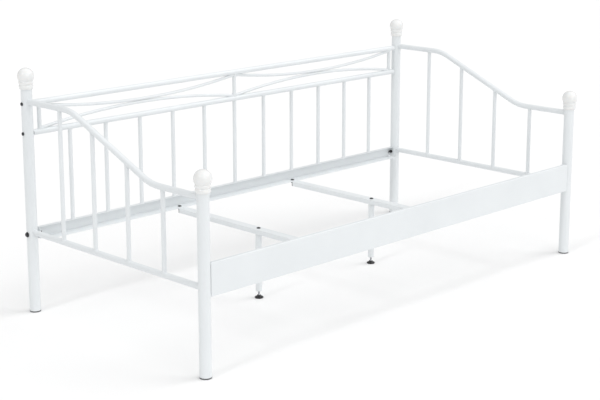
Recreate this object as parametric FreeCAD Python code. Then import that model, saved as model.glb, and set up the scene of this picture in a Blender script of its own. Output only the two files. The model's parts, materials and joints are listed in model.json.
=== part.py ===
# Daybed: a steel-tube frame for a mattress of 900 x 2000 mm, standing on the floor.
# X runs along the length, Y from the open front to the back panel, Z is up.
# The origin is on the floor, under the middle of the frame.
# Lengths are in millimetres.
import FreeCAD, Part
import math
import os
from FreeCAD import Vector

# ---------------------------------------------------------------- driving dimensions

POST_SPACING_X = 2060.0
POST_SPACING_Y = 970.0
POST_D = 42.0
POST_WALL = 1.2
FRONT_POST_TOP = 630.0
BACK_POST_TOP = 851.0

RAIL_D = 22.0
RAIL_WALL = 1.5
SPINDLE_D = 16.0
SPINDLE_WALL = 1.0
WIRE_D = 12.0

END_RAIL_BACK_Z = 804.5        # level part of the end top rail beside the back post
END_RAIL_FRONT_Z = 614.0       # level part beside the front post
END_CORNER_BACK_Y = 215.0      # where the two level parts would meet the slope
END_CORNER_FRONT_Y = -222.0
END_BEND_R = 200.0
END_BOTTOM_RAIL_Z = 310.0
END_SPINDLES = 4

BACK_TOP_RAIL_Z = 797.0
BACK_MID_RAIL_Z = 686.0
STRUT_INSET = 52.0             # outer struts, from the post axis
BACK_SPINDLES = 11
BACK_SPINDLE_PITCH = 168.5
WIRE_BOW_R = 3150.0            # radius of the long shallow arcs

SHEET = 2.0                    # bent sheet of both side rails
LEDGE_BOTTOM_Z = 280.0
LEDGE_WIDTH = 49.0             # measured from the outer face of the rail
LEDGE_END_GAP = 40.0           # the ledge stops this far short of the post axis
BACK_RAIL_TOP_Z = 325.0
BACK_RAIL_FACE = 9.0           # outer face, behind the post axis
BACK_RAIL_FLANGE = 18.0        # top flange that the back spindles stand on
FRONT_RAIL_TOP_Z = 395.0
FRONT_RAIL_FACE = 15.0         # outer face, in front of the post axis
FRONT_RAIL_RETURN = 14.0       # folded top edge
FRONT_RAIL_END_GAP = 17.3      # the face stops this far short of the post axis
TAB_THICKNESS = 3.0            # end tabs that bolt to the posts
TAB_DEPTH = 31.0
BEND_R = 2.8                   # outside radius where the sheet is folded

BEAM_X = 325.0
BEAM_WIDTH = 40.0
BEAM_HEIGHT = 20.0
BEAM_WALL = 2.0
BEAM_END_Y = 447.0             # end of the tube, without its plug
BEAM_TONGUE_Y = 483.0          # end of the top wall, which runs on under the ledge
BEAM_BOLT_Y = 467.0
BEAM_CORNER_R = 3.0
PLUG_FLANGE = 3.0
PLUG_DEPTH = 12.0

LEG_D = 25.0
LEG_WALL = 1.5
LEG_BOTTOM_Z = 29.0
LEG_PLATE = 8.0                # threaded plate welded into the top of the leg
INSERT_LENGTH = 18.0           # threaded insert pressed into the bottom of the leg
PAD_D = 34.0
PAD_RIM = 6.0
PAD_RIM_R = 1.5
PAD_SHOULDER = 2.0             # flat ring between the rim and the cone
PAD_HEIGHT = 12.0
PAD_NECK_D = 15.0
PAD_SOCKET_Z = 4.0
SCREW_TOP_Z = 80.0
SCREW_CHAMFER = 0.6
RUNNING_CLEARANCE = 0.05       # radial, screw in its insert and in its pad

FOOT_CAP = 5.0                 # visible part of the plastic cap under each post
CAP_RIM_R = 1.0
CAP_PLUG = 20.0
PRESS_GAP = 0.05               # radial, plastic plugs and inserts in their tubes

# A finial is a ball on two rings. Heights are above the top of its post.
FINIAL_BALL_R = 31.0
FINIAL_BALL_Z = 47.0
FINIAL_NECK_R = 24.0
FINIAL_LOWER_RING_R = 26.3
FINIAL_LOWER_RING_TOP = 16.4
FINIAL_UPPER_RING_R = 27.2
FINIAL_UPPER_RING_TOP = 29.5
FINIAL_PLUG = 22.0

# Metric fasteners: shank and clearance hole, low round head, hexagon head and nut.
M6 = {"d": 6.0, "hole": 6.6, "round_d": 13.0, "round": 4.0, "round_r": 2.2}
M8 = {"d": 8.0, "hole": 8.6, "round_d": 15.0, "round": 3.6, "round_r": 2.2,
      "flats": 13.0, "head": 5.3, "nut": 6.5}
HEX_CHAMFER = 0.5
WASHER_D = 20.0
WASHER = 1.6
LEDGE_WASHER_D = 16.0
THREAD_GAP = 0.1               # radial, between a plain shank and its plain nut
PANEL_BOLT_LENGTH = 58.0
RAIL_BOLT_LENGTH = 64.0
FRONT_BOLT_LENGTH = 20.0
LEDGE_BOLT_LENGTH = 14.0
LEG_BOLT_LENGTH = 40.0
RIVET_NUT_D = 11.0
RIVET_NUT_LENGTH = 15.0
BACK_RAIL_BOLT_Z = 303.0
FRONT_RAIL_BOLTS_Z = (312.0, 362.0)

# ---------------------------------------------------------------- derived places

POST_X = POST_SPACING_X / 2
POST_Y = POST_SPACING_Y / 2
POST_R = POST_D / 2
RAIL_R = RAIL_D / 2
SPINDLE_R = SPINDLE_D / 2
POST_BORE_R = POST_R - POST_WALL
POST_INNER_X = POST_X - POST_R
LEDGE_TOP_Z = LEDGE_BOTTOM_Z + SHEET
BACK_RAIL_FACE_Y = POST_Y + BACK_RAIL_FACE
FRONT_RAIL_FACE_Y = -POST_Y - FRONT_RAIL_FACE
END_SPINDLE_PITCH = (POST_SPACING_Y - POST_D + SPINDLE_D) / (END_SPINDLES + 1)

X_AXIS = Vector(1, 0, 0)
Y_AXIS = Vector(0, 1, 0)
Z_AXIS = Vector(0, 0, 1)

SIDES = {"left": -1, "right": 1}
ROWS = {"front": -1, "back": 1}

# ---------------------------------------------------------------- helpers


def rod(diameter, length, base, axis):
    """A plain round bar from base along axis."""
    return Part.makeCylinder(diameter / 2, length, base, axis)


def tube(diameter, wall, length, base, axis):
    """A round tube from base along axis."""
    return rod(diameter, length, base, axis).cut(rod(diameter - 2 * wall, length, base, axis))


def block(x0, x1, y0, y1, z0, z1):
    """A box between two corners, given in either order."""
    low = Vector(min(x0, x1), min(y0, y1), min(z0, z1))
    return Part.makeBox(abs(x1 - x0), abs(y1 - y0), abs(z1 - z0), low)


def hexagon(flats, height, base, axis):
    """A hexagonal prism from base along axis."""
    corner_r = flats / math.sqrt(3)
    corners = []
    for i in range(7):
        angle = math.radians(60 * i)
        corners.append(Vector(corner_r * math.cos(angle), corner_r * math.sin(angle), 0))
    prism = Part.Face(Part.makePolygon(corners)).extrude(Vector(0, 0, height))
    prism.Placement = FreeCAD.Placement(base, FreeCAD.Rotation(Z_AXIS, axis))
    return prism


def chamfered_hexagon(flats, height, base, axis):
    """A nut blank: a hexagonal prism whose corners are turned down at both ends."""
    turned = Part.makeCylinder(flats / math.sqrt(3), height, base, axis)
    turned = turned.makeChamfer(HEX_CHAMFER, [e for e in turned.Edges if e.Closed])
    return hexagon(flats, height, base, axis).common(turned)


def hex_bolt(length, base, axis):
    """An M8 bolt. base is under the head, and axis points along the shank."""
    head = chamfered_hexagon(M8["flats"], M8["head"], base, axis * -1)
    return head.fuse(rod(M8["d"], length, base, axis))


def button_bolt(size, length, base, axis):
    """A bolt with a low round head. base is under the head, and axis points along the shank."""
    head = Part.makeCylinder(size["round_d"] / 2, size["round"], base, axis * -1)
    rims = [e for e in head.Edges if e.Closed]
    outer_rim = max(rims, key=lambda edge: edge.CenterOfMass.sub(base).Length)
    head = head.makeFillet(size["round_r"], [outer_rim])
    return head.fuse(rod(size["d"], length, base, axis))


def hex_nut(base, axis):
    """An M8 nut from base along axis."""
    bore = rod(M8["d"] + 2 * THREAD_GAP, M8["nut"], base, axis)
    return chamfered_hexagon(M8["flats"], M8["nut"], base, axis).cut(bore)


def rounded_path(points, bend_r):
    """Straight runs through the points, with every inner corner rounded."""
    edges = []
    start = points[0]
    for before, corner, after in zip(points, points[1:], points[2:]):
        arriving = (corner - before).normalize()
        leaving = (after - corner).normalize()
        half_turn = arriving.getAngle(leaving) / 2
        run = bend_r * math.tan(half_turn)
        inward = (leaving - arriving).normalize()
        arc_start = corner - arriving * run
        arc_middle = corner + inward * (bend_r / math.cos(half_turn) - bend_r)
        arc_end = corner + leaving * run
        edges.append(Part.LineSegment(start, arc_start).toShape())
        edges.append(Part.Arc(arc_start, arc_middle, arc_end).toShape())
        start = arc_end
    edges.append(Part.LineSegment(start, points[-1]).toShape())
    return Part.Wire(edges)


def sweep(path, diameter):
    """A solid bar of this diameter along the path."""
    first = path.Edges[0]
    start = first.valueAt(first.FirstParameter)
    heading = first.tangentAt(first.FirstParameter)
    ring = Part.Wire(Part.makeCircle(diameter / 2, start, heading))
    return path.makePipeShell([ring], True, True)


def folded_sheet(outer_corners, half_length):
    """Sheet bent along X. Its outside follows the (y, z) corners, which turn anticlockwise."""
    corners = [Vector(-half_length, y, z) for y, z in outer_corners]
    section = rounded_path(corners, BEND_R).makeOffset2D(-SHEET, 0, True, True)
    return section.extrude(X_AXIS * 2 * half_length)


def save(name, *solids):
    """Write one node. Several solids make a group in one file."""
    shape = solids[0] if len(solids) == 1 else Part.makeCompound(list(solids))
    shape.exportStep(os.path.join("parts", name + ".step"))
    print(name, "valid", shape.isValid(), "solids", len(shape.Solids), "volume", round(shape.Volume))


# ---------------------------------------------------------------- shared outlines


def post_core(x, y):
    """The full round outline of a post, which tube ends are shaped to."""
    return rod(POST_D, BACK_POST_TOP, Vector(x, y, 0), Z_AXIS)


def end_rail_path(x):
    """Axis of an end top rail: level at the back, a slope down, level at the front."""
    return rounded_path(
        [
            Vector(x, POST_Y, END_RAIL_BACK_Z),
            Vector(x, END_CORNER_BACK_Y, END_RAIL_BACK_Z),
            Vector(x, END_CORNER_FRONT_Y, END_RAIL_FRONT_Z),
            Vector(x, -POST_Y, END_RAIL_FRONT_Z),
        ],
        END_BEND_R,
    )


def back_rail_core(z):
    """The full round outline of a back panel rail."""
    return rod(RAIL_D, 2 * POST_INNER_X, Vector(-POST_INNER_X, POST_Y, z), X_AXIS)


def strut_places():
    outer = POST_X - STRUT_INSET
    return {"left": -outer, "centre": 0.0, "right": outer}


# ---------------------------------------------------------------- posts, finials, foot caps


def post(side, row):
    """A tube post. Back posts have through holes, front posts have holes for rivet nuts."""
    x = side * POST_X
    y = row * POST_Y
    top = BACK_POST_TOP if row > 0 else FRONT_POST_TOP
    body = tube(POST_D, POST_WALL, top - FOOT_CAP, Vector(x, y, FOOT_CAP), Z_AXIS)
    if row > 0:
        for z, hole in (
            (BACK_TOP_RAIL_Z, M6["hole"]),
            (BACK_MID_RAIL_Z, M6["hole"]),
            (BACK_RAIL_BOLT_Z, M8["hole"]),
        ):
            body = body.cut(rod(hole, 2 * POST_D, Vector(x - POST_D, y, z), X_AXIS))
    else:
        for z in FRONT_RAIL_BOLTS_Z:
            hole = rod(RIVET_NUT_D + 2 * PRESS_GAP, POST_R, Vector(x, y, z), X_AXIS * -side)
            body = body.cut(hole)
    return body


def finial(side, row):
    """A ball on two rounded rings, with a plug that presses into the post."""
    top = BACK_POST_TOP if row > 0 else FRONT_POST_TOP
    seat_r = math.sqrt(FINIAL_BALL_R ** 2 - (FINIAL_BALL_Z - FINIAL_UPPER_RING_TOP) ** 2)
    plug_r = POST_BORE_R - PRESS_GAP
    ring_gap = Vector(FINIAL_NECK_R, 0, FINIAL_LOWER_RING_TOP)
    ball_seat = Vector(seat_r, 0, FINIAL_UPPER_RING_TOP)
    ball_top = Vector(0, 0, FINIAL_BALL_Z + FINIAL_BALL_R)
    plug_foot = Vector(0, 0, -FINIAL_PLUG)
    plug_corner = Vector(plug_r, 0, -FINIAL_PLUG)
    plug_root = Vector(plug_r, 0, 0)
    rim = Vector(FINIAL_NECK_R, 0, 0)
    lower_bulge = Vector(FINIAL_LOWER_RING_R, 0, FINIAL_LOWER_RING_TOP / 2)
    upper_mid_z = (FINIAL_LOWER_RING_TOP + FINIAL_UPPER_RING_TOP) / 2
    upper_bulge = Vector(FINIAL_UPPER_RING_R, 0, upper_mid_z)
    equator = Vector(FINIAL_BALL_R, 0, FINIAL_BALL_Z)
    outline = Part.Wire(
        [
            Part.LineSegment(plug_foot, plug_corner).toShape(),
            Part.LineSegment(plug_corner, plug_root).toShape(),
            Part.LineSegment(plug_root, rim).toShape(),
            Part.Arc(rim, lower_bulge, ring_gap).toShape(),
            Part.Arc(ring_gap, upper_bulge, ball_seat).toShape(),
            Part.Arc(ball_seat, equator, ball_top).toShape(),
            Part.LineSegment(ball_top, plug_foot).toShape(),
        ]
    )
    body = Part.Face(outline).revolve(Vector(0, 0, 0), Z_AXIS, 360)
    body.translate(Vector(side * POST_X, row * POST_Y, top))
    return body


def foot_cap(side, row):
    """A plastic cap under a post: a disc that shows, and a plug inside the tube."""
    base = Vector(side * POST_X, row * POST_Y, 0)
    disc = rod(POST_D, FOOT_CAP, base, Z_AXIS)
    floor_rim = [e for e in disc.Edges if e.Closed and e.CenterOfMass.z < FOOT_CAP / 2]
    disc = disc.makeFillet(CAP_RIM_R, floor_rim)
    seat = base + Z_AXIS * FOOT_CAP
    plug = rod(2 * (POST_BORE_R - PRESS_GAP), CAP_PLUG, seat, Z_AXIS)
    return disc.fuse(plug).removeSplitter()


# ---------------------------------------------------------------- end panels


def end_top_rail(side):
    x = side * POST_X
    path = end_rail_path(x)
    body = sweep(path, RAIL_D).cut(sweep(path, RAIL_D - 2 * RAIL_WALL))
    return body.cut([post_core(x, POST_Y), post_core(x, -POST_Y)])


def end_bottom_rail(side):
    x = side * POST_X
    body = tube(RAIL_D, RAIL_WALL, POST_SPACING_Y, Vector(x, -POST_Y, END_BOTTOM_RAIL_Z), Y_AXIS)
    return body.cut([post_core(x, POST_Y), post_core(x, -POST_Y)])


def end_spindle(side, number):
    """An upright tube of an end panel, shaped to both rails. Number 1 is at the front."""
    x = side * POST_X
    y = END_SPINDLE_PITCH * (number - (END_SPINDLES + 1) / 2)
    height = END_RAIL_BACK_Z - END_BOTTOM_RAIL_Z
    body = tube(SPINDLE_D, SPINDLE_WALL, height, Vector(x, y, END_BOTTOM_RAIL_Z), Z_AXIS)
    top_rail = sweep(end_rail_path(x), RAIL_D)
    bottom_rail = rod(RAIL_D, POST_SPACING_Y, Vector(x, -POST_Y, END_BOTTOM_RAIL_Z), Y_AXIS)
    pieces = body.cut([top_rail, bottom_rail]).Solids
    return min(pieces, key=lambda piece: piece.CenterOfMass.z)


# ---------------------------------------------------------------- back panel


def back_rail(z):
    """A straight tube with square ends, bolted between the back posts."""
    return tube(RAIL_D, RAIL_WALL, 2 * POST_INNER_X, Vector(-POST_INNER_X, POST_Y, z), X_AXIS)


def back_strut(x):
    """A short upright between the two back rails."""
    height = BACK_TOP_RAIL_Z - BACK_MID_RAIL_Z
    body = tube(SPINDLE_D, SPINDLE_WALL, height, Vector(x, POST_Y, BACK_MID_RAIL_Z), Z_AXIS)
    return body.cut([back_rail_core(BACK_TOP_RAIL_Z), back_rail_core(BACK_MID_RAIL_Z)])


def back_spindle(number):
    """An upright tube that stands on the back side rail and meets the mid rail."""
    x = BACK_SPINDLE_PITCH * (number - (BACK_SPINDLES + 1) / 2)
    height = BACK_MID_RAIL_Z - BACK_RAIL_TOP_Z
    body = tube(SPINDLE_D, SPINDLE_WALL, height, Vector(x, POST_Y, BACK_RAIL_TOP_Z), Z_AXIS)
    return body.cut(back_rail_core(BACK_MID_RAIL_Z))


def scroll_wire(side, bow):
    """A long shallow arc between two struts. bow is 1 if its ends turn up, -1 if down.

    The upper and the lower wire of a bay touch in the middle, side by side.
    """
    struts = strut_places()
    outer_x = struts["left"] if side < 0 else struts["right"]
    half_span = abs(outer_x) / 2
    middle_x = outer_x / 2
    middle_z = (BACK_TOP_RAIL_Z + BACK_MID_RAIL_Z) / 2 + bow * WIRE_D / 2
    rise = WIRE_BOW_R - math.sqrt(WIRE_BOW_R ** 2 - half_span ** 2)
    arc = Part.Arc(
        Vector(middle_x - half_span, POST_Y, middle_z + bow * rise),
        Vector(middle_x, POST_Y, middle_z),
        Vector(middle_x + half_span, POST_Y, middle_z + bow * rise),
    )
    body = sweep(Part.Wire([arc.toShape()]), WIRE_D)
    cutters = [back_rail_core(BACK_TOP_RAIL_Z), back_rail_core(BACK_MID_RAIL_Z)]
    for x in (outer_x, struts["centre"]):
        cutters.append(rod(SPINDLE_D, BACK_POST_TOP, Vector(x, POST_Y, 0), Z_AXIS))
    return max(body.cut(cutters).Solids, key=lambda piece: piece.Volume)


def panel_bolts():
    """Bolts that hold the back panel and the back side rail to the back posts."""
    solids = []
    for side in SIDES.values():
        inward = X_AXIS * -side
        outside_x = side * (POST_X + POST_R)
        for z in (BACK_TOP_RAIL_Z, BACK_MID_RAIL_Z):
            solids.append(button_bolt(M6, PANEL_BOLT_LENGTH, Vector(outside_x, POST_Y, z), inward))
        base = Vector(outside_x, POST_Y, BACK_RAIL_BOLT_Z)
        washer = rod(WASHER_D, WASHER, base, inward * -1)
        solids.append(washer.cut(rod(M8["hole"], WASHER, base, inward * -1)))
        under_head = base - inward * WASHER
        solids.append(hex_bolt(RAIL_BOLT_LENGTH, under_head, inward))
    return solids


def panel_inserts():
    """Threaded plugs in the ends of the back rails, and the nuts of the back side rail."""
    solids = []
    for side in SIDES.values():
        inward = X_AXIS * -side
        for z in (BACK_TOP_RAIL_Z, BACK_MID_RAIL_Z):
            mouth = Vector(side * POST_INNER_X, POST_Y, z)
            plug = rod(RAIL_D - 2 * RAIL_WALL - 2 * PRESS_GAP, INSERT_LENGTH, mouth, inward)
            solids.append(plug.cut(rod(M6["d"] + 2 * THREAD_GAP, INSERT_LENGTH, mouth, inward)))
        tab_face = Vector(side * (POST_INNER_X - TAB_THICKNESS), POST_Y, BACK_RAIL_BOLT_Z)
        solids.append(hex_nut(tab_face, inward))
    return solids


# ---------------------------------------------------------------- side rails


def side_rail(row, face_y, half, flange, top_z):
    """Sheet folded once: an upright face, and a flange at its top that is cut back at both ends."""
    corners = [
        (face_y, LEDGE_BOTTOM_Z),
        (face_y, top_z),
        (face_y - row * flange, top_z),
    ]
    if row < 0:
        corners.reverse()
    body = folded_sheet(corners, half)
    flange_half = POST_INNER_X - TAB_THICKNESS
    bend_y = face_y - row * BEND_R
    for side in SIDES.values():
        notch = block(side * flange_half, side * 2 * half, bend_y, -bend_y, top_z - SHEET, top_z)
        body = body.cut(notch)
    return body


def back_side_rail():
    """A low rail. The back spindles stand on its top flange."""
    return side_rail(1, BACK_RAIL_FACE_Y, POST_INNER_X, BACK_RAIL_FLANGE, BACK_RAIL_TOP_Z)


def front_side_rail():
    """A tall rail, whose face laps over the inner half of each front post."""
    half = POST_X - FRONT_RAIL_END_GAP
    return side_rail(-1, FRONT_RAIL_FACE_Y, half, FRONT_RAIL_RETURN, FRONT_RAIL_TOP_Z)


def slat_ledge(row, face_y):
    """A flat strip welded inside the bottom edge of a side rail, with holes for the beam bolts."""
    half = POST_X - LEDGE_END_GAP
    inside_y = face_y - row * SHEET
    tip_y = face_y - row * LEDGE_WIDTH
    strip = block(-half, half, inside_y, tip_y, LEDGE_BOTTOM_Z, LEDGE_TOP_Z)
    for side in SIDES.values():
        hole_base = Vector(side * BEAM_X, row * BEAM_BOLT_Y, LEDGE_BOTTOM_Z)
        strip = strip.cut(rod(M8["hole"], SHEET, hole_base, Z_AXIS))
    return strip


def end_tabs(row, face_y, top_z, bolt_heights):
    """Square plates welded inside both ends of a side rail, which are bolted to the posts."""
    tabs = []
    inside_y = face_y - row * SHEET
    tip_y = face_y - row * TAB_DEPTH
    for side in SIDES.values():
        inner_x = side * (POST_INNER_X - TAB_THICKNESS)
        tab = block(inner_x, side * POST_INNER_X, inside_y, tip_y,
                    LEDGE_BOTTOM_Z + 2 * SHEET, top_z - 2 * SHEET)
        for z in bolt_heights:
            bolt_axis = Vector(inner_x, row * POST_Y, z)
            tab = tab.cut(rod(M8["hole"], TAB_THICKNESS, bolt_axis, X_AXIS * side))
        tabs.append(tab)
    return tabs


def front_rail_bolts():
    """Bolts driven outwards through the front rail's tabs into the front posts."""
    solids = []
    for side in SIDES.values():
        for z in FRONT_RAIL_BOLTS_Z:
            tab_face = Vector(side * (POST_INNER_X - TAB_THICKNESS), -POST_Y, z)
            solids.append(hex_bolt(FRONT_BOLT_LENGTH, tab_face, X_AXIS * side))
    return solids


def front_rail_nuts():
    """Rivet nuts set in the front posts, which take the front rail's bolts."""
    solids = []
    for side in SIDES.values():
        outward = X_AXIS * side
        for z in FRONT_RAIL_BOLTS_Z:
            mouth = Vector(side * POST_INNER_X, -POST_Y, z)
            nut = rod(RIVET_NUT_D, RIVET_NUT_LENGTH, mouth, outward)
            solids.append(nut.cut(rod(M8["d"] + 2 * THREAD_GAP, RIVET_NUT_LENGTH, mouth, outward)))
    return solids


# ---------------------------------------------------------------- cross beams and centre legs


def beam_section(x, shrink, y0, y1):
    """A length of the beam's outline with rounded long edges, made smaller by shrink."""
    half = BEAM_WIDTH / 2 - shrink
    low = LEDGE_BOTTOM_Z - BEAM_HEIGHT + shrink
    body = block(x - half, x + half, y0, y1, low, LEDGE_BOTTOM_Z - shrink)
    long_edges = [e for e in body.Edges if e.BoundBox.YLength > e.BoundBox.XLength
                  and e.BoundBox.YLength > e.BoundBox.ZLength]
    return body.makeFillet(BEAM_CORNER_R - shrink, long_edges)


def under_top_wall(x):
    """The room below the tongues, where the beam's sides and bottom are cut away."""
    half = BEAM_WIDTH
    top = LEDGE_BOTTOM_Z - BEAM_WALL
    return [block(x - half, x + half, row * BEAM_END_Y, row * 2 * BEAM_END_Y, 0, top)
            for row in ROWS.values()]


def cross_beam(side):
    """A flat rectangular tube across the frame. Its top wall runs on under both ledges."""
    x = side * BEAM_X
    body = beam_section(x, 0, -BEAM_TONGUE_Y, BEAM_TONGUE_Y)
    body = body.cut(beam_section(x, BEAM_WALL, -BEAM_TONGUE_Y, BEAM_TONGUE_Y))
    body = body.cut(under_top_wall(x))
    for y in (-BEAM_BOLT_Y, BEAM_BOLT_Y):
        body = body.cut(rod(M8["hole"], 2 * BEAM_WALL, Vector(x, y, LEDGE_BOTTOM_Z), Z_AXIS * -1))
    return body.cut(rod(M8["hole"], BEAM_HEIGHT, Vector(x, 0, LEDGE_BOTTOM_Z), Z_AXIS * -1))


def beam_end_plugs():
    """Black plastic plugs that close the four ends of the cross beams, below the tongues."""
    solids = []
    for side in SIDES.values():
        x = side * BEAM_X
        for row in ROWS.values():
            end_y = row * BEAM_END_Y
            flange = beam_section(x, 0, end_y, end_y + row * PLUG_FLANGE)
            flange = flange.common(Part.makeCompound(under_top_wall(x)))
            stem = beam_section(x, BEAM_WALL + PRESS_GAP, end_y, end_y - row * PLUG_DEPTH)
            solids.append(flange.fuse(stem).removeSplitter())
    return solids


def cross_beam_bolts():
    """Bolts down through ledge and tongue with washer and nut below, and one into each leg."""
    solids = []
    for side in SIDES.values():
        x = side * BEAM_X
        for y in (-BEAM_BOLT_Y, BEAM_BOLT_Y):
            on_ledge = Vector(x, y, LEDGE_TOP_Z)
            solids.append(button_bolt(M8, LEDGE_BOLT_LENGTH, on_ledge, Z_AXIS * -1))
            under_tongue = Vector(x, y, LEDGE_BOTTOM_Z - BEAM_WALL)
            washer = rod(LEDGE_WASHER_D, WASHER, under_tongue, Z_AXIS * -1)
            solids.append(washer.cut(rod(M8["hole"], WASHER, under_tongue, Z_AXIS * -1)))
            solids.append(hex_nut(under_tongue - Z_AXIS * WASHER, Z_AXIS * -1))
        on_beam = Vector(x, 0, LEDGE_BOTTOM_Z)
        solids.append(button_bolt(M8, LEG_BOLT_LENGTH, on_beam, Z_AXIS * -1))
    return solids


def support_leg(side):
    """A tube leg under a cross beam, with a threaded plate welded into its top."""
    x = side * BEAM_X
    top = LEDGE_BOTTOM_Z - BEAM_HEIGHT
    body = tube(LEG_D, LEG_WALL, top - LEG_BOTTOM_Z, Vector(x, 0, LEG_BOTTOM_Z), Z_AXIS)
    plate = rod(LEG_D - 2 * LEG_WALL, LEG_PLATE, Vector(x, 0, top - LEG_PLATE), Z_AXIS)
    thread = rod(M8["d"] + 2 * THREAD_GAP, LEG_PLATE, Vector(x, 0, top - LEG_PLATE), Z_AXIS)
    return body.fuse(plate).cut(thread).removeSplitter()


def leg_inserts():
    """Threaded inserts in the bottom of both legs, which the levelling screws turn in."""
    solids = []
    for side in SIDES.values():
        base = Vector(side * BEAM_X, 0, LEG_BOTTOM_Z)
        plug = rod(LEG_D - 2 * LEG_WALL - 2 * PRESS_GAP, INSERT_LENGTH, base, Z_AXIS)
        solids.append(plug.cut(rod(M8["d"], INSERT_LENGTH, base, Z_AXIS)))
    return solids


def levelling_pad(side):
    """A round plastic foot with a raised neck, and a socket for the screw."""
    base = Vector(side * BEAM_X, 0, 0)
    disc = rod(PAD_D, PAD_RIM, base, Z_AXIS)
    rims = [e for e in disc.Edges if e.Closed]
    disc = disc.makeFillet(PAD_RIM_R, rims)
    slope = Part.makeCone(PAD_D / 2 - PAD_SHOULDER, PAD_NECK_D / 2, PAD_HEIGHT - PAD_RIM,
                          Vector(base.x, 0, PAD_RIM), Z_AXIS)
    socket = rod(M8["d"], PAD_HEIGHT, Vector(base.x, 0, PAD_SOCKET_Z), Z_AXIS)
    return disc.fuse(slope).cut(socket).removeSplitter()


def levelling_screw(side):
    """The threaded stem between the pad and the leg, shown as a plain bar."""
    base = Vector(side * BEAM_X, 0, PAD_SOCKET_Z)
    bar = rod(M8["d"] - 2 * RUNNING_CLEARANCE, SCREW_TOP_Z - PAD_SOCKET_Z, base, Z_AXIS)
    return bar.makeChamfer(SCREW_CHAMFER, [e for e in bar.Edges if e.Closed])


# ---------------------------------------------------------------- write every node

for row_name, row in ROWS.items():
    for side_name, side in SIDES.items():
        corner = row_name + "_" + side_name
        save("post_" + corner, post(side, row))
        save("finial_" + corner, finial(side, row))
        save("foot_cap_" + corner, foot_cap(side, row))

for side_name, side in SIDES.items():
    save("end_top_rail_" + side_name, end_top_rail(side))
    save("end_bottom_rail_" + side_name, end_bottom_rail(side))
    for number in range(1, END_SPINDLES + 1):
        save("end_spindle_%s_%d" % (side_name, number), end_spindle(side, number))
    save("scroll_wire_upper_" + side_name, scroll_wire(side, 1))
    save("scroll_wire_lower_" + side_name, scroll_wire(side, -1))
    save("cross_beam_" + side_name, cross_beam(side))
    save("support_leg_" + side_name, support_leg(side))
    save("levelling_pad_" + side_name, levelling_pad(side))
    save("levelling_screw_" + side_name, levelling_screw(side))

save("back_top_rail", back_rail(BACK_TOP_RAIL_Z))
save("back_mid_rail", back_rail(BACK_MID_RAIL_Z))
for place, strut_x in strut_places().items():
    save("back_strut_" + place, back_strut(strut_x))
for number in range(1, BACK_SPINDLES + 1):
    save("back_spindle_%02d" % number, back_spindle(number))
save("back_side_rail", back_side_rail())
save("front_side_rail", front_side_rail())
save("slat_ledges", slat_ledge(-1, FRONT_RAIL_FACE_Y), slat_ledge(1, BACK_RAIL_FACE_Y))
front_tabs = end_tabs(-1, FRONT_RAIL_FACE_Y, FRONT_RAIL_TOP_Z, FRONT_RAIL_BOLTS_Z)
back_tabs = end_tabs(1, BACK_RAIL_FACE_Y, BACK_RAIL_TOP_Z, [BACK_RAIL_BOLT_Z])
save("rail_end_tabs", *front_tabs, *back_tabs)
save("corner_bolts", *panel_bolts(), *front_rail_bolts())
save("cross_beam_bolts", *cross_beam_bolts())
save("threaded_inserts", *panel_inserts(), *front_rail_nuts(), *leg_inserts())
save("beam_end_plugs", *beam_end_plugs())
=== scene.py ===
# %% [markdown]
# # A steel-tube daybed
# The frame is welded from round steel tube and bent sheet, bolted together at the four posts, and
# powder coated white. Its tubes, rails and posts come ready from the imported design. This lesson adds
# what the design leaves plain: weld beads, real threads, socket heads, moulded feet, and a finish for
# every surface. Everything is in metres, with the floor at z = 0 and the open side of the bed at -Y.

import json
import math

import bmesh
import bpy
from mathutils import Matrix, Vector
from mathutils.bvhtree import BVHTree


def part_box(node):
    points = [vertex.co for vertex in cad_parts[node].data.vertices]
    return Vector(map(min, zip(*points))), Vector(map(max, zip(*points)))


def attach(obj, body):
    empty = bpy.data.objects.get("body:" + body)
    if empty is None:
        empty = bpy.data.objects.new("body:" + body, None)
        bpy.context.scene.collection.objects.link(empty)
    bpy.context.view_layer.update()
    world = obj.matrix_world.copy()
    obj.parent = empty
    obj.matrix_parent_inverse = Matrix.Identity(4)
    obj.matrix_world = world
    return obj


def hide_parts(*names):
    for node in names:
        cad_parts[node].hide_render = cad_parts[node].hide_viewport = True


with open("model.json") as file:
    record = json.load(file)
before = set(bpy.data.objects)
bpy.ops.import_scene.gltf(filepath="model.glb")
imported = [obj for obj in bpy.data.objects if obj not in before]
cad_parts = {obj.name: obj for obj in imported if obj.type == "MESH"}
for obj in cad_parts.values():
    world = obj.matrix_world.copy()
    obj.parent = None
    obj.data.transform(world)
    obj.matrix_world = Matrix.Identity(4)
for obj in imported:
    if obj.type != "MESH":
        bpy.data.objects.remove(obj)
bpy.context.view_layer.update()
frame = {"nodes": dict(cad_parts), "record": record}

# %% [markdown]
# ## The camera
# The bed is seen from its front left corner with a long lens, from about eye height, so its upright
# tubes stay nearly upright. A small vertical shift moves the view down without tilting the lens
# further. The shift is kept small, because other views of the bed keep it too.

# %% Place the camera
MM = 0.001
CAMERA_PLACE = Vector((-3.9058, -3.7755, 1.7162))
CAMERA_HEADING = math.radians(45.24)    # turned from +Y towards +X
CAMERA_DIP = math.radians(12.32)        # below the horizon
CAMERA_LENS = 83.95                     # millimetres, on a sensor 36 mm wide
CAMERA_SHIFT = -0.08

lens = bpy.data.cameras.new("camera")
lens.sensor_width = 36.0
lens.lens = CAMERA_LENS
lens.shift_y = CAMERA_SHIFT
camera = bpy.data.objects.new("camera", lens)
camera.location = CAMERA_PLACE
camera.rotation_euler = (math.radians(90) - CAMERA_DIP, 0.0, -CAMERA_HEADING)
bpy.context.collection.objects.link(camera)
bpy.context.scene.camera = camera

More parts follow.
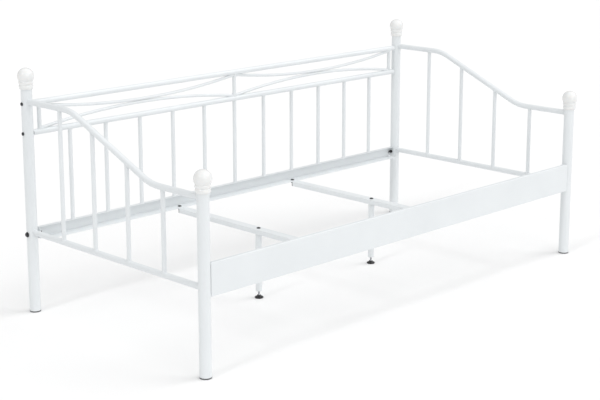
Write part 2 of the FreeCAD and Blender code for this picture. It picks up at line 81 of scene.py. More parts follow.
# %% [markdown]
# ## Wiring materials
# A finish is a tree of nodes: coordinates feed a noise, the noise feeds a colour, a roughness or a
# bump. Each of the finishes below needs the same four or five connections, so they get short helpers.
# All patterns read Object coordinates. Every piece sits at the origin with its place in its mesh, so
# those coordinates are simply metres in the room, and a pattern has the same scale on every part.

# %% Helpers for node trees


def new_finish(name):
    """A node material. Gives the material, its tree and its main shader."""
    material = bpy.data.materials.new(name)
    material.use_nodes = True
    shader = material.node_tree.nodes["Principled BSDF"]
    return material, material.node_tree, shader


def place(tree, stretch=(1.0, 1.0, 1.0)):
    """Object coordinates, scaled along each axis."""
    coordinates = tree.nodes.new("ShaderNodeTexCoord")
    mapping = tree.nodes.new("ShaderNodeMapping")
    mapping.inputs["Scale"].default_value = stretch
    tree.links.new(coordinates.outputs["Object"], mapping.inputs["Vector"])
    return mapping.outputs["Vector"]


def mottle(tree, where, grain, detail=2.0, rough=0.5):
    """Noise whose blotches are about grain metres across."""
    node = tree.nodes.new("ShaderNodeTexNoise")
    node.inputs["Scale"].default_value = 1.0 / grain
    node.inputs["Detail"].default_value = detail
    node.inputs["Roughness"].default_value = rough
    tree.links.new(where, node.inputs["Vector"])
    return node.outputs["Fac"]


def remap(tree, value, low, high, start=0.3, stop=0.7):
    """Stretch a noise between two values."""
    node = tree.nodes.new("ShaderNodeMapRange")
    node.inputs["From Min"].default_value = start
    node.inputs["From Max"].default_value = stop
    node.inputs["To Min"].default_value = low
    node.inputs["To Max"].default_value = high
    tree.links.new(value, node.inputs["Value"])
    return node.outputs["Result"]


def blend_colours(tree, amount, first, second):
    """A colour between two colours."""
    node = tree.nodes.new("ShaderNodeMix")
    node.data_type = "RGBA"
    node.inputs["A"].default_value = (*first, 1.0)
    node.inputs["B"].default_value = (*second, 1.0)
    tree.links.new(amount, node.inputs["Factor"])
    return node.outputs["Result"]


def bump(tree, height, depth, strength, under=None):
    """Raise the surface by height times depth metres, on top of another bump."""
    node = tree.nodes.new("ShaderNodeBump")
    node.inputs["Distance"].default_value = depth
    node.inputs["Strength"].default_value = strength
    tree.links.new(height, node.inputs["Height"])
    if under is not None:
        tree.links.new(under, node.inputs["Normal"])
    return node.outputs["Normal"]


# %% [markdown]
# ## White powder coat
# Powder coat is plastic dust melted onto steel. It flows out into a skin with a faint orange peel:
# low swells two or three millimetres across, with a finer grain inside them. A painted image would
# blur when seen close, so the swells are two noises of different size, used as a bump. The gloss
# wanders a little where the coat lies thicker, and the white has a slight drift of tone from one
# stretch of tube to the next, which keeps a long plain tube from looking like drawn paper.

# %% Make the powder coat
COAT_WHITE = (0.753, 0.781, 0.795)
COAT_SHADE = (0.720, 0.748, 0.763)
PEEL_SIZE = 2.6 * MM
PEEL_GRAIN = 0.7 * MM
TONE_SIZE = 220 * MM


def powder_coat():
    material, tree, shader = new_finish("white_powder_coat")
    where = place(tree)
    tone = remap(tree, mottle(tree, where, TONE_SIZE, 3.0), 0.0, 1.0)
    tree.links.new(blend_colours(tree, tone, COAT_WHITE, COAT_SHADE), shader.inputs["Base Color"])
    thickness = mottle(tree, where, 18 * MM, 2.0)
    tree.links.new(remap(tree, thickness, 0.30, 0.42), shader.inputs["Roughness"])
    peel = bump(tree, mottle(tree, where, PEEL_SIZE, 1.0), 0.10 * MM, 0.55)
    grain = bump(tree, mottle(tree, where, PEEL_GRAIN, 2.0), 0.02 * MM, 0.45, under=peel)
    tree.links.new(grain, shader.inputs["Normal"])
    shader.inputs["Specular IOR Level"].default_value = 0.45
    shader.inputs["Coat Weight"].default_value = 0.12
    shader.inputs["Coat Roughness"].default_value = 0.22
    return material


# %% [markdown]
# ## Moulded plastics
# Three plastics share one recipe. The finials are glossy white and slightly translucent, with only a
# trace of sink and flow. The caps under the posts are dark grey and the levelling feet and beam plugs
# are black, both from tools with a spark-eroded texture, which is a dense, even, very fine grain.
# Light scuffs raise their roughness in patches. The recipe takes the colours, gloss and grain depth.

# %% Make the plastics


def moulded_plastic(name, colour, worn, gloss, dull, grain_depth, grain_size):
    material, tree, shader = new_finish(name)
    where = place(tree)
    flow = remap(tree, mottle(tree, where, 12 * MM, 3.0), 0.0, 1.0)
    tree.links.new(blend_colours(tree, flow, colour, worn), shader.inputs["Base Color"])
    scuff = mottle(tree, where, 4 * MM, 4.0, 0.65)
    tree.links.new(remap(tree, scuff, gloss, dull), shader.inputs["Roughness"])
    sink = bump(tree, mottle(tree, where, 9 * MM, 1.0), 0.06 * MM, 0.35)
    grain = bump(tree, mottle(tree, where, grain_size, 1.0), grain_depth, 0.6, under=sink)
    tree.links.new(grain, shader.inputs["Normal"])
    return material


def finial_plastic():
    material = moulded_plastic("white_plastic", (0.80, 0.805, 0.80), (0.77, 0.775, 0.77),
                               0.12, 0.24, 0.008 * MM, 0.9 * MM)
    shader = material.node_tree.nodes["Principled BSDF"]
    shader.inputs["Coat Weight"].default_value = 0.35
    shader.inputs["Coat Roughness"].default_value = 0.06
    shader.inputs["Subsurface Weight"].default_value = 0.06
    shader.inputs["Subsurface Radius"].default_value = (0.004, 0.003, 0.0025)
    shader.inputs["Subsurface Scale"].default_value = 1.0
    return material


# %% [markdown]
# ## Plated steel
# The levelling stems are bright zinc, and the bolts, nuts and washers are black zinc. Plating on a
# rolled or headed part keeps fine drawn lines from the tool and a cloudy sheen from the bath. The
# lines are a noise squeezed along one axis, and the clouds vary both tone and roughness.

# %% Make the metals


def plated_steel(name, colour, cloud, metallic, smooth, rough):
    material, tree, shader = new_finish(name)
    where = place(tree)
    bath = remap(tree, mottle(tree, where, 3 * MM, 4.0), 0.0, 1.0)
    tree.links.new(blend_colours(tree, bath, colour, cloud), shader.inputs["Base Color"])
    tree.links.new(remap(tree, mottle(tree, where, 1.4 * MM, 3.0), smooth, rough),
                   shader.inputs["Roughness"])
    drawn = mottle(tree, place(tree, (1.0, 1.0, 0.12)), 0.35 * MM, 2.0)
    tree.links.new(bump(tree, drawn, 0.02 * MM, 0.5), shader.inputs["Normal"])
    shader.inputs["Metallic"].default_value = metallic
    return material


FINISHES = {
    "white_powder_coat": powder_coat(),
    "white_plastic": finial_plastic(),
    "grey_plastic": moulded_plastic("grey_plastic", (0.085, 0.088, 0.092), (0.13, 0.132, 0.135),
                                    0.42, 0.62, 0.05 * MM, 0.45 * MM),
    "black_plastic": moulded_plastic("black_plastic", (0.012, 0.012, 0.013), (0.024, 0.024, 0.025),
                                     0.34, 0.55, 0.05 * MM, 0.45 * MM),
    "zinc_steel": plated_steel("zinc_steel", (0.66, 0.67, 0.69), (0.50, 0.52, 0.55), 1.0, 0.22, 0.40),
    "black_fasteners": plated_steel("black_fasteners", (0.045, 0.046, 0.050), (0.085, 0.086, 0.090),
                                    0.85, 0.30, 0.48),
}
print("finishes", sorted(FINISHES))

# %% [markdown]
# ## Put the finishes on the design's parts
# Each part names its material slot in the record, and the imported material has the same name. The
# parts keep their shape, and only what fills their slots changes.

# %% Fill the slots
slot_of = {part["node"]: part["material_slot"] for part in frame["record"]["subparts"]}
for node_name, node in frame["nodes"].items():
    for slot in node.material_slots:
        slot.material = FINISHES[slot_of[node_name]]
print(len(frame["nodes"]), "parts have a finish")

# %% [markdown]
# ## Measuring the design
# New pieces have to sit exactly on the parts they belong to, so every place below is read from a
# part's box and none is typed in. A tube that runs along X, Y or Z is known from its box alone: its
# middle, its two ends, and its radius, which is half of the box's width.

# %% Helpers that read the design


def middle(node_name):
    low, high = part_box(node_name)
    return (Vector(low) + Vector(high)) / 2


def radius(node_name):
    low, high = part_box(node_name)
    return (high[0] - low[0]) / 2


def surface(*node_names):
    """The skin of one or more parts, ready for finding where a line meets it."""
    corners = []
    faces = []
    for node_name in node_names:
        mesh = frame["nodes"][node_name].data
        first = len(corners)
        corners.extend(vertex.co.copy() for vertex in mesh.vertices)
        faces.extend([first + index for index in face.vertices] for face in mesh.polygons)
    return BVHTree.FromPolygons(corners, faces)


CREASE = math.radians(35)


def finish_piece(mesh_work, name, slot, body):
    """Turn a bmesh into a piece of the bed: finished, named, and riding on a body."""
    mesh = bpy.data.meshes.new(name)
    mesh_work.to_mesh(mesh)
    mesh_work.free()
    mesh.shade_smooth()
    mesh.set_sharp_from_angle(angle=CREASE)
    mesh.materials.append(FINISHES[slot])
    piece = bpy.data.objects.new(name, mesh)
    bpy.context.collection.objects.link(piece)
    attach(piece, body)
    print(name, len(mesh.polygons), "faces")
    return piece


def pour(source, target):
    """Add one bmesh to another and free the first."""
    carrier = bpy.data.meshes.new("carrier")
    source.to_mesh(carrier)
    source.free()
    target.from_mesh(carrier)
    bpy.data.meshes.remove(carrier)


def stand(axis):
    """A rotation that turns +Z onto axis."""
    return Vector((0, 0, 1)).rotation_difference(axis).to_matrix().to_4x4()


# %% [markdown]
# ## Weld beads
# Where one tube meets another, a robot runs a small bead of weld round the joint. It follows the
# saddle-shaped line where the two tubes cross, and it has faint ripples where the pool froze in
# steps. A bead could be a bevelled curve, but its control points would need the saddle worked out by
# hand. Here a small circle is spun round the tube's axis into a ring, and then every point of the
# ring slides along the tube until it lies on the wall it is welded to, which a ray from the tube
# finds. The same function then serves every joint, straight, sloped or flat.

# %% A bead where a tube meets a wall
BEAD_R = 1.7 * MM
BEAD_STEPS = 48
BEAD_SIDES = 8
RIPPLES = 16
RIPPLE_HEIGHT = 0.14
RAY_BACK = 30 * MM


def weld_bead(whole, wall, near_wall, towards, tube_r):
    """Add a ring of weld. near_wall is a point on the tube's axis, towards points to the wall."""
    towards = towards.normalized()
    start = near_wall - towards * RAY_BACK
    outward = towards.orthogonal().normalized()
    sideways = towards.cross(outward)
    bead = bmesh.new()
    section = bmesh.ops.create_circle(bead, segments=BEAD_SIDES, radius=BEAD_R)
    upright = Matrix((outward, towards, sideways)).transposed().to_4x4()
    lift = Matrix.Translation(start + outward * tube_r) @ upright
    bmesh.ops.transform(bead, matrix=lift, verts=section["verts"])
    bmesh.ops.spin(bead, geom=bead.verts[:] + bead.edges[:], cent=start, axis=towards,
                   angle=math.tau, steps=BEAD_STEPS, use_merge=True)
    bmesh.ops.remove_doubles(bead, verts=bead.verts, dist=0.01 * MM)
    for vertex in bead.verts:
        offset = vertex.co - start
        along = offset.dot(towards)
        across = offset - towards * along
        spoke = across.normalized()
        angle = math.atan2(spoke.dot(sideways), spoke.dot(outward))
        reach = wall.ray_cast(start + spoke * tube_r, towards)[3]
        line = start + spoke * tube_r + towards * (RAY_BACK if reach is None else reach)
        swell = 1 + RIPPLE_HEIGHT * math.cos(RIPPLES * angle)
        vertex.co = line + (across - spoke * tube_r + towards * along) * swell
    bmesh.ops.recalc_face_normals(bead, faces=bead.faces)
    pour(bead, whole)


UP = Vector((0, 0, 1))
BACK = Vector((0, 1, 0))

# %% [markdown]
# ### The end panels' welds
# Each end panel is two posts, a bent top rail, a straight bottom rail and four spindles. The top rail
# runs level where it meets the posts, high at the back and low at the front, so its axis there is
# one radius inside the top and the bottom of its box.

# %% Weld both end panels
SIDES = {"left": -1, "right": 1}
END_SPINDLES = 4

for side in SIDES:
    beads = bmesh.new()
    top_name = "end_top_rail_" + side
    bottom_name = "end_bottom_rail_" + side
    top_skin = surface(top_name)
    bottom_skin = surface(bottom_name)
    rail_r = radius(bottom_name)
    top_low, top_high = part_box(top_name)
    rail_heights = {
        "back": (top_high[2] - rail_r, middle(bottom_name).z),
        "front": (top_low[2] + rail_r, middle(bottom_name).z),
    }
    for row, heading in (("back", BACK), ("front", -BACK)):
        post_name = "post_%s_%s" % (row, side)
        post_skin = surface(post_name)
        post_axis = middle(post_name)
        for height in rail_heights[row]:
            joint = Vector((post_axis.x, post_axis.y, height)) - heading * radius(post_name)
            weld_bead(beads, post_skin, joint, heading, rail_r)
    for number in range(1, END_SPINDLES + 1):
        spindle = "end_spindle_%s_%d" % (side, number)
        low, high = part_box(spindle)
        axis = middle(spindle)
        weld_bead(beads, top_skin, Vector((axis.x, axis.y, high[2])), UP, radius(spindle))
        weld_bead(beads, bottom_skin, Vector((axis.x, axis.y, low[2])), -UP, radius(spindle))
    finish_piece(beads, "weld_beads_end_" + side, "white_powder_coat", "frame")

# %% [markdown]
# ### The back panel's welds
# The back panel has two long rails with three short struts between them, eleven spindles that stand
# on the back side rail, and four long bowed wires. The wires meet the struts at a slight slope, right
# beside a rail, so their beads run over both. Each wire is part of a large circle, and half its span
# and its rise give that slope.

# %% Weld the back panel
BACK_SPINDLES = 11

beads = bmesh.new()
top_skin = surface("back_top_rail")
middle_skin = surface("back_mid_rail")
flange_skin = surface("back_side_rail")
for place_name in ("left", "centre", "right"):
    strut = "back_strut_" + place_name
    low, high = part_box(strut)
    axis = middle(strut)
    weld_bead(beads, top_skin, Vector((axis.x, axis.y, high[2])), UP, radius(strut))
    weld_bead(beads, middle_skin, Vector((axis.x, axis.y, low[2])), -UP, radius(strut))
for number in range(1, BACK_SPINDLES + 1):
    spindle = "back_spindle_%02d" % number
    low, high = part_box(spindle)
    axis = middle(spindle)
    weld_bead(beads, middle_skin, Vector((axis.x, axis.y, high[2])), UP, radius(spindle))
    weld_bead(beads, flange_skin, Vector((axis.x, axis.y, low[2])), -UP, radius(spindle))

WIRE_SETBACK = 12 * MM
for side, outer in SIDES.items():
    for level, bow in (("upper", 1), ("lower", -1)):
        low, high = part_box("scroll_wire_%s_%s" % (level, side))
        wire_r = (high[1] - low[1]) / 2
        half_span = (high[0] - low[0]) / 2
        rise = high[2] - low[2] - 2 * wire_r
        slope = math.atan2(2 * rise * half_span, half_span ** 2 - rise ** 2)
        end_z = high[2] - wire_r if bow > 0 else low[2] + wire_r
        rail = "back_top_rail" if bow > 0 else "back_mid_rail"
        for direction in (-1, 1):
            end_x = high[0] if direction > 0 else low[0]
            strut = "centre" if direction != outer else side
            heading = Vector((direction * math.cos(slope), 0, bow * math.sin(slope)))
            joint = Vector((end_x, middle("back_top_rail").y, end_z)) - heading * WIRE_SETBACK
            weld_bead(beads, surface("back_strut_" + strut, rail), joint, heading, wire_r)
finish_piece(beads, "weld_beads_back_panel", "white_powder_coat", "frame")

# %% [markdown]
# ### Stitch welds on the ledges
# The ledges inside the side rails aren't welded all along, which would warp the thin sheet. Short
# stitches hold them, one hand's width apart. A stitch is a bar with round ends laid in the corner, so
# a cylinder is cut into rings, and each ring is drawn in at the ends and rippled along the middle.

# %% Stitch the ledges
STITCH_R = 1.9 * MM
STITCH_LENGTH = 28 * MM
STITCH_RINGS = 42
STITCHES = 13
STITCH_RIPPLE = 2.8 * MM


def stitch(whole, centre):
    """A short bead that runs along X."""
    bead = bmesh.new()
    bmesh.ops.create_cone(bead, cap_ends=True, segments=BEAD_SIDES, radius1=STITCH_R,
                          radius2=STITCH_R, depth=STITCH_LENGTH)
    long_edges = [edge for edge in bead.edges if edge.calc_length() > STITCH_LENGTH / 2]
    bmesh.ops.subdivide_edges(bead, edges=long_edges, cuts=STITCH_RINGS, use_grid_fill=True)
    for vertex in bead.verts:
        share = 2 * abs(vertex.co.z) / STITCH_LENGTH
        ends = math.sqrt(max(1 - share ** 6, 0.02))
        swell = ends * (1 + RIPPLE_HEIGHT * math.cos(math.tau * vertex.co.z / STITCH_RIPPLE))
        vertex.co.x *= swell
        vertex.co.y *= swell
    bmesh.ops.transform(bead, matrix=Matrix.Translation(centre) @ stand(Vector((1, 0, 0))),
                        verts=bead.verts)
    pour(bead, whole)


beads = bmesh.new()
ledges_low, ledges_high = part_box("slat_ledges")
for corner_y in (ledges_low[1], ledges_high[1]):
    for number in range(STITCHES):
        share = (number + 0.5) / STITCHES
        x = ledges_low[0] + share * (ledges_high[0] - ledges_low[0])
        stitch(beads, Vector((x, corner_y, ledges_high[2])))
finish_piece(beads, "weld_stitches_ledges", "white_powder_coat", "frame")

# %% [markdown]
# ## Threads
# A thread is a groove that climbs one pitch for each turn. Spinning a tooth with a rise would leave
# two open ends to close by hand. It is simpler to start from a closed bar, cut it into many thin
# rings, and pull each point in by how deep the groove is at its own height and angle. The two caps
# stay closed, and fading the groove out gives a plain shank or a run-out for nothing.

# %% A threaded bar along +Z
THREAD_SIDES = 28
RINGS_PER_TURN = 7
GROOVE_SHARE = 0.5          # groove depth as a share of the pitch
CREST = 0.18                # flat part of crest and root
TIP_TAPER = 0.8 * MM


def threaded_bar(bar_r, pitch, length, plain=0.0):
    """A closed bar from z = 0 up to length. Below plain it has no thread."""
    bar = bmesh.new()
    bmesh.ops.create_cone(bar, cap_ends=True, segments=THREAD_SIDES, radius1=bar_r, radius2=bar_r,
                          depth=length - plain)
    bmesh.ops.translate(bar, vec=(0, 0, (length + plain) / 2), verts=bar.verts)
    sides = [edge for edge in bar.edges if abs(edge.verts[0].co.z - edge.verts[1].co.z) > pitch]
    rings = round((length - plain) / pitch * RINGS_PER_TURN)
    bmesh.ops.subdivide_edges(bar, edges=sides, cuts=rings - 1, use_grid_fill=True)
    for vertex in bar.verts:
        turn = math.atan2(vertex.co.y, vertex.co.x) / math.tau
        phase = (vertex.co.z / pitch - turn) % 1.0
        slope = (abs(2 * phase - 1) - CREST) / (1 - 2 * CREST)
        depth = min(max(slope, 0.0), 1.0) * GROOVE_SHARE * pitch
        fade = min((vertex.co.z - plain) / pitch, 1.0) if plain else 1.0
        tip = max(0.0, TIP_TAPER - (length - vertex.co.z))
        pulled = bar_r - max(depth * max(fade, 0.0), tip)
        reach = math.hypot(vertex.co.x, vertex.co.y)
        vertex.co.x *= pulled / reach
        vertex.co.y *= pulled / reach
    if plain:
        shank = bmesh.ops.create_cone(bar, cap_ends=True, segments=THREAD_SIDES, radius1=bar_r,
                                      radius2=bar_r, depth=plain)
        bmesh.ops.translate(bar, vec=(0, 0, plain / 2), verts=shank["verts"])
    return bar


# %% [markdown]
# ## Levelling feet
# The two centre legs end in levelling feet: a bright threaded stem that screws into the leg, and a
# round black pad. The pad is a turned shape, so half its outline is spun round its axis. Its corners
# are then rounded with a bevel, as the mould does, and its rim gets finger grips: the outermost
# points move in and out as a wave, eighteen times round.

# %% Threaded stems
M8_PITCH = 1.25 * MM

for side in SIDES:
    plain_name = "levelling_screw_" + side
    low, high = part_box(plain_name)
    stem = threaded_bar(radius(plain_name), M8_PITCH, high[2] - low[2])
    axis = middle(plain_name)
    bmesh.ops.translate(stem, vec=(axis.x, axis.y, low[2]), verts=stem.verts)
    piece = finish_piece(stem, "levelling_stem_" + side, "zinc_steel", "screw_" + side)
    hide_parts(plain_name)

# %% Pads with finger grips
PAD_STEPS = 144
PAD_GRIPS = 18
GRIP_DEPTH = 0.45 * MM
PAD_NECK_R = 7.5 * MM
PAD_COLLAR = 2.2 * MM           # straight collar round the stem
PAD_RIM_TOP = 6.0 * MM
PAD_SHOULDER = 3.2 * MM         # the sloping top ends this far inside the rim
PAD_SHOULDER_DROP = 1.4 * MM
PAD_CHAMFER = 1.6 * MM          # under the rim
PAD_SOLE = 5.0 * MM             # the ring that stands on the floor ends this far inside the rim
PAD_SOLE_STEP = 0.8 * MM
PAD_FLOOR_GROOVE = 0.7 * MM
PAD_ROUNDING = 0.45 * MM
GRIP_WIDTH = 1.5 * MM
SOCKET_R = 4.0 * MM
SOCKET_Z = 4.0 * MM
SHARP = math.radians(28)


def spun(outline, steps):
    """A closed turned shape from (r, z) corners that start and end on the axis."""
    work = bmesh.new()
    corners = [work.verts.new((r, 0, z)) for r, z in outline]
    for first, second in zip(corners, corners[1:]):
        work.edges.new((first, second))
    bmesh.ops.spin(work, geom=work.verts[:] + work.edges[:], cent=(0, 0, 0), axis=(0, 0, 1),
                   angle=math.tau, steps=steps, use_merge=True)
    bmesh.ops.remove_doubles(work, verts=work.verts, dist=0.01 * MM)
    bmesh.ops.recalc_face_normals(work, faces=work.faces)
    return work


def round_corners(work, width, segments=3):
    """Bevel every edge that is sharper than the steps of a spun wall."""
    sharp = [edge for edge in work.edges
             if edge.is_manifold and edge.calc_face_angle(0.0) > SHARP]
    bmesh.ops.bevel(work, geom=sharp, offset=width, offset_type="OFFSET", segments=segments,
                    profile=0.5, affect="EDGES", clamp_overlap=True, material=-1)


def levelling_pad(rim_r, height):
    pad = spun(
        [
            (0.0, SOCKET_Z),
            (SOCKET_R, SOCKET_Z),
            (SOCKET_R, height),
            (PAD_NECK_R, height),
            (PAD_NECK_R, height - PAD_COLLAR),
            (rim_r - PAD_SHOULDER, PAD_RIM_TOP),
            (rim_r, PAD_RIM_TOP - PAD_SHOULDER_DROP),
            (rim_r, PAD_CHAMFER),
            (rim_r - PAD_CHAMFER, 0.0),
            (rim_r - PAD_SOLE, 0.0),
            (rim_r - PAD_SOLE - PAD_SOLE_STEP, PAD_FLOOR_GROOVE),
            (0.0, PAD_FLOOR_GROOVE),
        ],
        PAD_STEPS,
    )
    round_corners(pad, PAD_ROUNDING)
    for vertex in pad.verts:
        reach = math.hypot(vertex.co.x, vertex.co.y)
        if reach > rim_r - GRIP_WIDTH:
            angle = math.atan2(vertex.co.y, vertex.co.x)
            share = 1 - GRIP_DEPTH / rim_r * (0.5 - 0.5 * math.cos(PAD_GRIPS * angle))
            vertex.co.x *= share
            vertex.co.y *= share
    return pad


for side in SIDES:
    plain_name = "levelling_pad_" + side
    low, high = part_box(plain_name)
    pad = levelling_pad(radius(plain_name), high[2])
    axis = middle(plain_name)
    bmesh.ops.translate(pad, vec=(axis.x, axis.y, 0), verts=pad.verts)
    piece = finish_piece(pad, "levelling_foot_" + side, "black_plastic", "pad_" + side)
    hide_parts(plain_name)

# %% [markdown]
# ## Bolts, nuts and washers
# Two kinds of head hold the bed together. Low round heads with a hexagon socket are used where a
# hand or a slat could touch them, and hexagon heads with washers where they can't. A hexagon head is
# turned before it is cut, so its corners fall away under a shallow cone. One function makes it from a
# 48-sided bar: its side points move out to the hexagon and its top edge follows the cone.

# %% Heads and nuts along +Z
HEX_SIDES = 48
HEAD_SEGMENTS = 8
WASHER_ROUNDING = 0.2 * MM
CONE_SLOPE = math.tan(math.radians(30))
FACE_SHARE = 0.94           # flat round face, as a share of the width across flats


def hexagon_reach(angle, flats):
    """How far a hexagon's edge is from its middle in one direction."""
    sixth = math.pi / 3
    return flats / 2 / math.cos((angle % sixth) - sixth / 2)


def hexagon_head(flats, height, both_faces=False):
    """A hexagon block on z = 0 with a coned top, and a coned bottom for a nut."""
    head = bmesh.new()
    face_r = flats / 2 * FACE_SHARE
    bmesh.ops.create_cone(head, cap_ends=True, segments=HEX_SIDES, radius1=flats / 2,
                          radius2=flats / 2, depth=height)
    bmesh.ops.translate(head, vec=(0, 0, height / 2), verts=head.verts)
    corner_verts = head.verts[:]
    caps = [face for face in head.faces if abs(face.normal.z) > 0.9]
    bmesh.ops.inset_individual(head, faces=caps, thickness=flats / 2 - face_r)
    for vertex in corner_verts:
        angle = math.atan2(vertex.co.y, vertex.co.x)
        reach = hexagon_reach(angle, flats)
        vertex.co.x = reach * math.cos(angle)
        vertex.co.y = reach * math.sin(angle)
        drop = (reach - face_r) * CONE_SLOPE
        if vertex.co.z > height / 2:
            vertex.co.z -= drop
        elif both_faces:
            vertex.co.z += drop
    return head


def socket_head(head_r, height, rounding, socket_flats, socket_depth):
    """A low round head on z = 0 with a hexagon socket sunk into its top."""
    head = bmesh.new()
    bmesh.ops.create_cone(head, cap_ends=True, segments=HEX_SIDES, radius1=head_r,
                          radius2=head_r, depth=height)
    bmesh.ops.translate(head, vec=(0, 0, height / 2), verts=head.verts)
    rim = [edge for edge in head.edges if min(v.co.z for v in edge.verts) > height / 2]
    bmesh.ops.bevel(head, geom=rim, offset=rounding, offset_type="OFFSET",
                    segments=HEAD_SEGMENTS, profile=0.5, affect="EDGES", clamp_overlap=True,
                    material=-1)
    top = max(head.faces, key=lambda face: face.calc_center_median().z + face.normal.z)
    spread = max(math.hypot(v.co.x, v.co.y) for v in top.verts)
    bmesh.ops.inset_individual(head, faces=[top], thickness=spread - socket_flats / 2)
    for vertex in top.verts:
        angle = math.atan2(vertex.co.y, vertex.co.x)
        reach = hexagon_reach(angle, socket_flats)
        vertex.co.x = reach * math.cos(angle)
        vertex.co.y = reach * math.sin(angle)
    sunk = bmesh.ops.extrude_discrete_faces(head, faces=[top])["faces"][0]
    bmesh.ops.translate(head, vec=(0, 0, -socket_depth), verts=sunk.verts[:])
    return head


def plain_washer(outer_r, hole_r, height):
    washer = bmesh.new()
    outline = [(hole_r, 0), (outer_r, 0), (outer_r, height), (hole_r, height)]
    corners = [washer.verts.new((r, 0, z)) for r, z in outline]
    for first, second in zip(corners, corners[1:] + corners[:1]):
        washer.edges.new((first, second))
    bmesh.ops.spin(washer, geom=washer.verts[:] + washer.edges[:], cent=(0, 0, 0), axis=(0, 0, 1),
                   angle=math.tau, steps=HEX_SIDES, use_merge=True)
    bmesh.ops.remove_doubles(washer, verts=washer.verts, dist=0.01 * MM)
    bmesh.ops.recalc_face_normals(washer, faces=washer.faces)
    round_corners(washer, WASHER_ROUNDING, segments=2)
    return washer


def put(work, whole, base, axis, spin=0.0):
    """Turn a shape made along +Z onto axis, move it to base and add it to the whole."""
    turn = Matrix.Translation(base) @ stand(axis) @ Matrix.Rotation(spin, 4, "Z")
    bmesh.ops.transform(work, matrix=turn, verts=work.verts)
    pour(work, whole)


# %% [markdown]
# ### The bolts at the posts
# Each back post has three bolts that enter from outside: two socket heads into the back rails and one
# hexagon head with a broad washer into the back side rail, whose threaded end stands out on the
# inside. The front rail is bolted from inside, with two heads on each of its end tabs. Posts and
# rails give every axis, and a turn of its own for each hexagon keeps them from lining up like teeth.

# %% Bolt the corners
M6_R = 3 * MM
M6_PITCH = 1.0 * MM
M6_HEAD_R = 6.5 * MM
M6_HEAD = 4 * MM
M6_LENGTH = 58 * MM
M6_THREAD = 12 * MM
M6_KEY = 4 * MM
M8_KEY = 5 * MM
ROUNDING = 2.2 * MM
SOCKET_DEPTH = 2.2 * MM
M8_R = 4 * MM
M8_FLATS = 13 * MM
M8_HEAD = 5.3 * MM
M8_NUT = 6.5 * MM
M8_ROUND_R = 7.5 * MM
M8_ROUND = 3.6 * MM
RAIL_WASHER_R = 10 * MM
LEDGE_WASHER_R = 8 * MM
WASHER = 1.6 * MM
HOLE_R = 4.3 * MM
RAIL_BOLT_LENGTH = 64 * MM
RAIL_BOLT_PLAIN = 42 * MM
FRONT_BOLT_LENGTH = 20 * MM
FRONT_BOLT_RISES = (32 * MM, 82 * MM)       # above the bottom edge of the front rail
TAB = 3 * MM

bolts = bmesh.new()
bolt_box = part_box("corner_bolts")
rail_bolt_z = bolt_box[0][2] + RAIL_WASHER_R
for number, (side, outer) in enumerate(SIDES.items()):
    post = middle("post_back_" + side)
    outside = post.x + outer * radius("post_back_" + side)
    inward = Vector((-outer, 0, 0))
    for turn, rail in enumerate(("back_top_rail", "back_mid_rail")):
        base = Vector((outside, post.y, middle(rail).z))
        head = socket_head(M6_HEAD_R, M6_HEAD, ROUNDING, M6_KEY, SOCKET_DEPTH)
        put(head, bolts, base, -inward, spin=0.4 + turn + number)
        shank = threaded_bar(M6_R, M6_PITCH, M6_LENGTH, plain=M6_LENGTH - M6_THREAD)
        put(shank, bolts, base, inward)
    base = Vector((outside, post.y, rail_bolt_z))
    put(plain_washer(RAIL_WASHER_R, HOLE_R, WASHER), bolts, base, -inward)
    under_head = base - inward * WASHER
    put(hexagon_head(M8_FLATS, M8_HEAD), bolts, under_head, -inward, spin=0.2 + number)
    shank = threaded_bar(M8_R, M8_PITCH, RAIL_BOLT_LENGTH, plain=RAIL_BOLT_PLAIN)
    put(shank, bolts, under_head, inward)

tabs_end_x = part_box("rail_end_tabs")[1][0]
rail_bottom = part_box("front_side_rail")[0][2]
for number, (side, outer) in enumerate(SIDES.items()):
    tab_face = outer * (tabs_end_x - TAB)
    outward = Vector((outer, 0, 0))
    for turn, rise in enumerate(FRONT_BOLT_RISES):
        base = Vector((tab_face, middle("post_front_" + side).y, rail_bottom + rise))
        put(hexagon_head(M8_FLATS, M8_HEAD), bolts, base, -outward, spin=0.5 * turn + number)
        put(threaded_bar(M8_R, M8_PITCH, FRONT_BOLT_LENGTH), bolts, base, outward)
piece = finish_piece(bolts, "corner_bolt_set", "black_fasteners", "frame")
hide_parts("corner_bolts")

# %% [markdown]
# ### The bolts in the beams
# Each cross beam hangs from both ledges by a bolt put in from above, with a washer and a nut below,
# and a third bolt goes down through its middle into the leg. Slats lie right over these bolts, so
# all of them have low round heads. The heights come from the ledge and the beam.

# %% Bolt the cross beams
LEDGE_BOLT_LENGTH = 14 * MM
LEG_BOLT_LENGTH = 40 * MM
LEG_BOLT_PLAIN = 22 * MM
BEAM_WALL = 2 * MM
LEDGE = 2 * MM

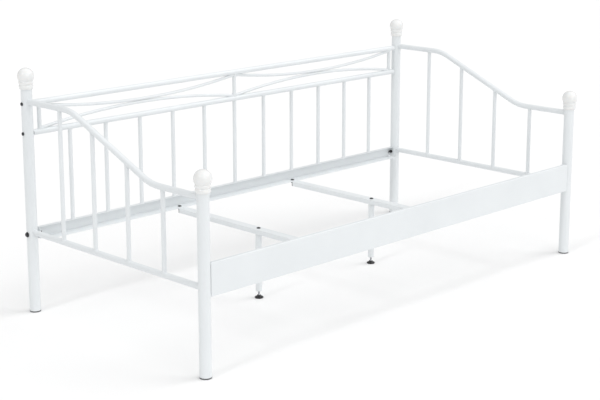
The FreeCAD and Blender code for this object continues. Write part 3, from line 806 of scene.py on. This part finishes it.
bolts = bmesh.new()
ledge_bolt_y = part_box("cross_beam_bolts")[1][1] - LEDGE_WASHER_R
for number, side in enumerate(SIDES):
    beam = middle("cross_beam_" + side)
    beam_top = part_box("cross_beam_" + side)[1][2]
    for row in (-1, 1):
        on_ledge = Vector((beam.x, row * ledge_bolt_y, beam_top + LEDGE))
        head = socket_head(M8_ROUND_R, M8_ROUND, ROUNDING, M8_KEY, SOCKET_DEPTH)
        put(head, bolts, on_ledge, UP, spin=0.3 * row + number)
        put(threaded_bar(M8_R, M8_PITCH, LEDGE_BOLT_LENGTH), bolts, on_ledge, -UP)
        under = Vector((beam.x, row * ledge_bolt_y, beam_top - BEAM_WALL))
        put(plain_washer(LEDGE_WASHER_R, HOLE_R, WASHER), bolts, under, -UP)
        nut = hexagon_head(M8_FLATS, M8_NUT, both_faces=True)
        put(nut, bolts, under - UP * WASHER, -UP, spin=0.35 + row * 0.3 + number)
    on_beam = Vector((beam.x, beam.y, beam_top))
    head = socket_head(M8_ROUND_R, M8_ROUND, ROUNDING, M8_KEY, SOCKET_DEPTH)
    put(head, bolts, on_beam, UP, spin=0.15 + number)
    shank = threaded_bar(M8_R, M8_PITCH, LEG_BOLT_LENGTH, plain=LEG_BOLT_PLAIN)
    put(shank, bolts, on_beam, -UP)
piece = finish_piece(bolts, "beam_bolt_set", "black_fasteners", "frame")
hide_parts("cross_beam_bolts")

# %% [markdown]
# ## The studio
# The bed stands on a seamless pale floor under soft light. A wide, even sky does most of the work, so
# every tube is white with gentle darker edges. Two wide panels, left and right, draw soft shadows from
# the feet towards each other. A low front panel reaches in under the flange of the back side rail,
# and an overhead panel brightens the upper side of the tubes. All are sun lights with a wide disc.
# Area lights would fade with distance and leave the far floor grey.

# %% Floor
FLOOR_HALF = 30.0


def studio_floor():
    material, tree, shader = new_finish("studio_floor")
    tone = remap(tree, mottle(tree, place(tree), 0.8, 2.0), 0.0, 1.0)
    colour = blend_colours(tree, tone, (0.90, 0.90, 0.90), (0.89, 0.89, 0.89))
    tree.links.new(colour, shader.inputs["Base Color"])
    shader.inputs["Roughness"].default_value = 0.9
    shader.inputs["Specular IOR Level"].default_value = 0.1
    sheet = bmesh.new()
    bmesh.ops.create_grid(sheet, x_segments=2, y_segments=2, size=FLOOR_HALF)
    mesh = bpy.data.meshes.new("studio_floor")
    sheet.to_mesh(mesh)
    sheet.free()
    mesh.materials.append(material)
    floor = bpy.data.objects.new("studio_floor", mesh)
    bpy.context.collection.objects.link(floor)


studio_floor()

# %% Lights
SKY = 0.58
bpy.context.scene.view_settings.view_transform = "Standard"
world = bpy.data.worlds.new("sky")
world.use_nodes = True
world.node_tree.nodes["Background"].inputs["Color"].default_value = (1.0, 1.0, 1.0, 1.0)
world.node_tree.nodes["Background"].inputs["Strength"].default_value = SKY
bpy.context.scene.world = world


def far_panel(name, travels, strength, spread):
    """Light that falls evenly everywhere. The spread, in degrees, softens its shadows."""
    light = bpy.data.lights.new(name, "SUN")
    light.energy = strength
    light.angle = math.radians(spread)
    panel = bpy.data.objects.new(name, light)
    panel.rotation_euler = Vector(travels).to_track_quat("-Z", "Y").to_euler()
    bpy.context.collection.objects.link(panel)


far_panel("panel_left", (1.0, 0.1, -0.75), 0.38, 10.0)
far_panel("panel_right", (-0.75, 0.45, -0.85), 0.85, 42.0)
far_panel("panel_front", (0.2, 1.0, -0.4), 0.55, 50.0)
far_panel("panel_above", (0.1, 0.2, -1.0), 0.80, 80.0)
